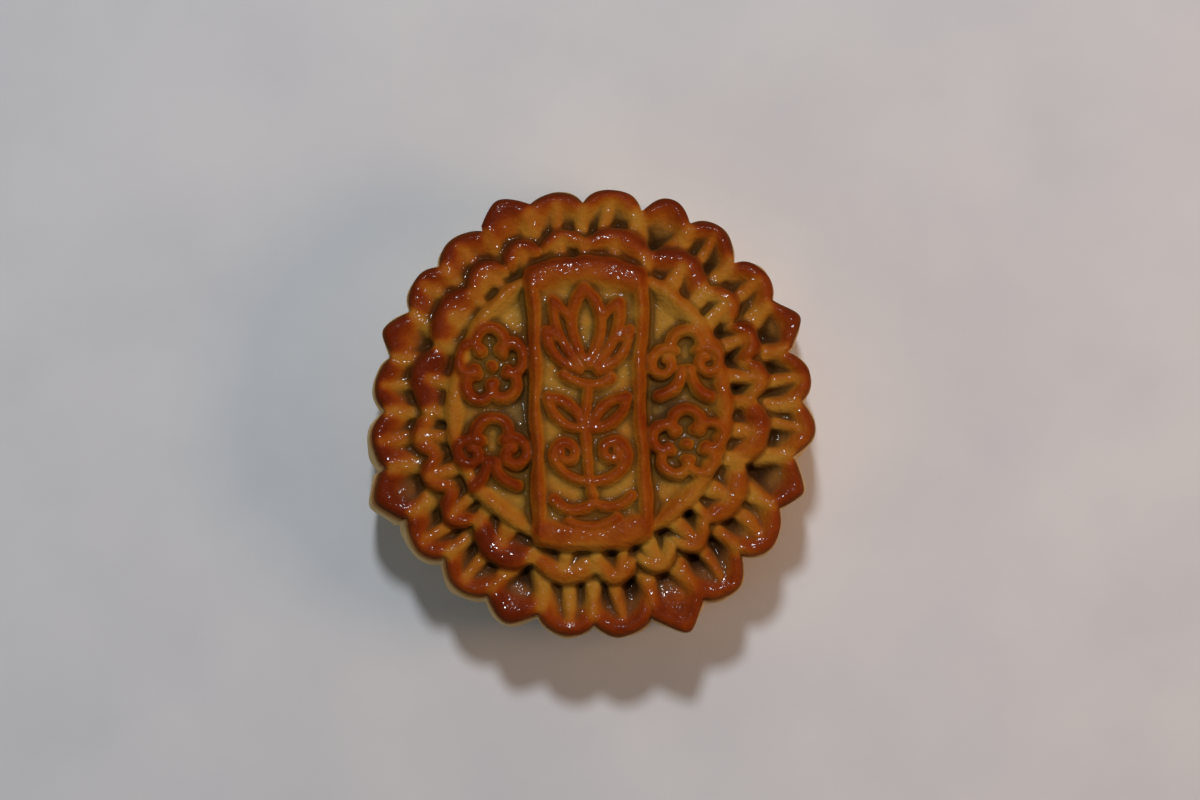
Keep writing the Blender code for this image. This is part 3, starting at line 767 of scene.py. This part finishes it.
class Nodes:
    """Short ways to add nodes and join them."""

    def __init__(self, name):
        self.material = bpy.data.materials.new(name)
        self.material.use_nodes = True
        self.tree = self.material.node_tree
        self.shader = self.tree.nodes["Principled BSDF"]

    def add(self, kind, **settings):
        """A new node with these settings."""
        node = self.tree.nodes.new(kind)
        for key, value in settings.items():
            setattr(node, key, value)
        return node

    def join(self, output, socket):
        self.tree.links.new(output, socket)

    def attribute(self, name):
        return self.add("ShaderNodeAttribute", attribute_name=name).outputs["Fac"]

    def noise(self, scale, detail, roughness=0.5, distortion=0.0):
        """Noise from 0 to 1 over the object, with scale in waves for each metre."""
        node = self.add("ShaderNodeTexNoise")
        node.inputs["Scale"].default_value = scale
        node.inputs["Detail"].default_value = detail
        node.inputs["Roughness"].default_value = roughness
        node.inputs["Distortion"].default_value = distortion
        self.join(self.coordinates(), node.inputs["Vector"])
        return node.outputs["Fac"]

    def coordinates(self):
        found = self.tree.nodes.get("Texture Coordinate") or self.add("ShaderNodeTexCoord")
        return found.outputs["Object"]

    def math(self, operation, a, b=0.0, c=0.0):
        node = self.add("ShaderNodeMath", operation=operation)
        for socket, value in zip(node.inputs, (a, b, c)):
            if isinstance(value, float):
                socket.default_value = value
            else:
                self.join(value, socket)
        return node.outputs[0]

    def held(self, value, low, high):
        """A value kept between low and high."""
        return self.math("MINIMUM", self.math("MAXIMUM", value, low), high)

    def centred(self, value, amount):
        """A noise value moved to lie about zero, times amount."""
        return self.math("MULTIPLY", self.math("SUBTRACT", value, 0.5), amount)

    def ramp(self, value, stops):
        """The colour at a value among stops of (value, colour)."""
        node = self.add("ShaderNodeValToRGB")
        elements = node.color_ramp.elements
        while len(elements) < len(stops):
            elements.new(0.5)
        for element, (place, colour) in zip(elements, stops):
            element.position = place
            element.color = colour
        self.join(value, node.inputs["Fac"])
        return node.outputs["Color"]

    def mix(self, share, a, b):
        """A colour that turns from a to b as share grows from none to one."""
        node = self.add("ShaderNodeMix", data_type="RGBA")
        for socket, value in ((node.inputs["Factor"], share), (node.inputs[6], a), (node.inputs[7], b)):
            if isinstance(value, (float, tuple)):
                socket.default_value = value
            else:
                self.join(value, socket)
        return node.outputs[2]

    def bump(self, height, distance):
        """A normal bent by a height of 0 to 1, which stands for this many metres."""
        node = self.add("ShaderNodeBump")
        node.inputs["Strength"].default_value = 1.0
        node.inputs["Distance"].default_value = distance
        self.join(height, node.inputs["Height"])
        return node.outputs["Normal"]


GLAZED_CRUST = (  # by browning
    (0.0, srgb(184, 133, 47)),
    (0.22, srgb(178, 113, 32)),
    (0.45, srgb(165, 85, 16)),
    (0.7, srgb(143, 58, 10)),
    (1.0, srgb(110, 36, 6)),
)
BARE_CRUST = (
    (0.0, srgb(232, 198, 142)),
    (0.5, srgb(200, 148, 84)),
    (1.0, srgb(146, 90, 42)),
)
DULL_DOUGH = srgb(90, 80, 56)
# Painted shade for hollows, pits and creases; the olive is partly the crust's own colour in its hollows
OLIVE_HOLLOW_SHADE = srgb(106, 80, 42)
PIT_SHADE = srgb(34, 16, 5)
CREASE_SHADE = srgb(60, 33, 11)


def crust_material():
    """Pastry browned under egg glaze: darker on the rims, golden in the dishes, pale and matt on the side."""
    n = Nodes("mooncake_crust")
    # The top's browning varies in patches and in specks
    brown = n.attribute("browning")
    brown = n.math("MULTIPLY_ADD", n.attribute("near_relief"), 0.08, brown)
    brown = n.math("ADD", brown, n.centred(n.noise(75.0, 2.0), 0.85))
    brown = n.math("ADD", brown, n.centred(n.noise(380.0, 4.0, 0.6), 0.5))
    top = n.ramp(brown, GLAZED_CRUST)
    top = n.mix(n.math("MULTIPLY", n.attribute("dullness"), 0.6), top, DULL_DOUGH)
    # Painted shade: hollows turn olive, then dark, and creases darken however shallow; the olive is partly
    # the crust's own
    for attribute, times, plus, most, colour in (
        ("pit", 2.2, 0.0, 0.6, OLIVE_HOLLOW_SHADE),
        ("pit", 1.9, -0.85, 0.88, PIT_SHADE),
        ("near_relief", -2.0, -0.14, 0.72, CREASE_SHADE),
    ):
        share = n.math("MULTIPLY_ADD", n.attribute(attribute), times, plus)
        top = n.mix(n.held(share, 0.0, most), top, colour)
    blotched = n.math("ADD", n.attribute("browning"), n.centred(n.noise(60.0, 2.0), 0.5))
    mottled = n.math("ADD", blotched, n.centred(n.noise(260.0, 4.0, 0.6), 0.35))
    n.join(n.mix(n.attribute("glaze"), n.ramp(mottled, BARE_CRUST), top), n.shader.inputs["Base Color"])
    # The glaze is brushed on unevenly, and fine flecks break it up
    gloss = n.held(n.math("MULTIPLY_ADD", n.noise(140.0, 2.0), 4.5, -1.6), 0.06, 1.0)
    flecks = n.held(n.math("MULTIPLY_ADD", n.noise(1400.0, 1.0, 0.5, 0.5), 7.0, -3.0), 0.03, 1.0)
    gloss = n.math("MULTIPLY", n.math("MULTIPLY", gloss, flecks), n.attribute("gloss"))
    n.join(gloss, n.shader.inputs["Coat Weight"])
    n.join(n.math("MULTIPLY_ADD", n.attribute("glaze"), -0.12, 0.70), n.shader.inputs["Roughness"])
    n.shader.inputs["Specular IOR Level"].default_value = 0.06
    n.shader.inputs["Coat Roughness"].default_value = 0.15
    grain = n.bump(n.noise(1300.0, 1.0), 0.0002)
    crinkles = n.bump(n.noise(560.0, 1.4, 0.5, 0.8), 0.00062)
    n.join(grain, n.shader.inputs["Normal"])
    n.join(crinkles, n.shader.inputs["Coat Normal"])
    return n.material


def paper_material():
    """Pale matt paper, faintly mottled."""
    n = Nodes("paper")
    n.join(
        n.ramp(n.noise(30.0, 4.0), [(0.35, srgb(222, 222, 224)), (0.65, srgb(230, 229, 229))]),
        n.shader.inputs["Base Color"],
    )
    n.shader.inputs["Roughness"].default_value = 0.9
    return n.material


# --- stage ----------------------------------------------------------------------------------------


CAKE_MIDDLE = (0.0, 0.0, 0.02)
KEY_COLOUR = (0.87, 0.93, 1.0)
DAYLIGHT = (0.92, 0.96, 1.0)
ROOM_COLOUR = (0.90, 0.96, 1.0)
SKYLIGHT = (0.66, 0.86, 1.0)
LAMPLIGHT = (1.0, 0.60, 0.37)
SENSOR_WIDTH = 36.0  # in millimetres
FIELD_OF_VIEW = 25.0
EYE_ELEVATION = 88.5
EYE_DISTANCE = 0.501
EYE_TARGET = (0.0018, 0.0023, 0.028)
EYE_ROLL = -1.3


def add_floor():
    """A sheet of paper far wider than the cake, lying under it."""
    size = 1.2
    mesh = bpy.data.meshes.new("floor")
    corners = [(-size, -size, 0.0), (size, -size, 0.0), (size, size, 0.0), (-size, size, 0.0)]
    mesh.from_pydata(corners, [], [(0, 1, 2, 3)])
    floor = bpy.data.objects.new("floor", mesh)
    bpy.context.scene.collection.objects.link(floor)
    mesh.materials.append(paper_material())
    floor.visible_glossy = False


def add_light(name, bearing, elevation, distance, size, power, colour):
    """A round lamp that shines on the cake from a bearing and an elevation."""
    light = bpy.data.lights.new(name, "AREA")
    light.shape = "DISK"
    light.size = size
    light.energy = power
    light.color = colour
    lamp = bpy.data.objects.new(name, light)
    bpy.context.scene.collection.objects.link(lamp)
    aim(lamp, bearing, elevation, distance, CAKE_MIDDLE)
    return lamp


def add_fill(*settings):
    """A lamp for a soft share of the room's light, too dull to show as a highlight."""
    add_light(*settings).visible_glossy = False


def aim(thing, bearing, elevation, distance, target):
    """Puts a lamp or camera this far from its target, towards a bearing, looking back at it."""
    flat = distance * math.cos(math.radians(elevation))
    x = target[0] + flat * math.sin(math.radians(bearing))
    y = target[1] + flat * math.cos(math.radians(bearing))
    z = target[2] + distance * math.sin(math.radians(elevation))
    thing.location = (x, y, z)
    thing.rotation_euler = (math.radians(90.0 - elevation), 0.0, math.radians(180.0 - bearing))


def add_camera():
    """A camera almost straight above the cake."""
    camera = bpy.data.cameras.new("camera")
    camera.sensor_width = SENSOR_WIDTH
    camera.lens = SENSOR_WIDTH / 2 / math.tan(math.radians(FIELD_OF_VIEW / 2))
    camera.clip_start = 0.01
    eye = bpy.data.objects.new("camera", camera)
    bpy.context.scene.collection.objects.link(eye)
    aim(eye, 180.0, EYE_ELEVATION, EYE_DISTANCE, EYE_TARGET)
    eye.rotation_euler.rotate_axis("Z", math.radians(EYE_ROLL))
    bpy.context.scene.camera = eye


def light_world(colour, strength):
    """Even light from all round, too dull to show as a highlight."""
    world = bpy.data.worlds.new("room")
    world.use_nodes = True
    background = world.node_tree.nodes["Background"]
    background.inputs["Color"].default_value = (*colour, 1.0)
    background.inputs["Strength"].default_value = strength
    world.cycles_visibility.glossy = False
    bpy.context.scene.world = world


crust = cake_piece()
crust.data.materials.append(crust_material())
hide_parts("mooncake")
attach(crust, "root")

add_floor()
add_camera()
# Each lamp's bearing, elevation, distance and width in metres, power in watts, and colour
add_light("key", 357.0, 64.0, 0.8, 0.085, 2.80, KEY_COLOUR)
add_fill("low_fill", 238.0, 22.0, 0.6, 0.3, 0.27, SKYLIGHT)
add_fill("soft_fill", 20.0, 50.0, 1.2, 0.8, 0.5, DAYLIGHT)
add_fill("warm_fill", 95.0, 40.0, 0.5, 0.2, 0.66, LAMPLIGHT)
light_world(ROOM_COLOUR, 0.093)
bpy.context.scene.view_settings.view_transform = "Standard"
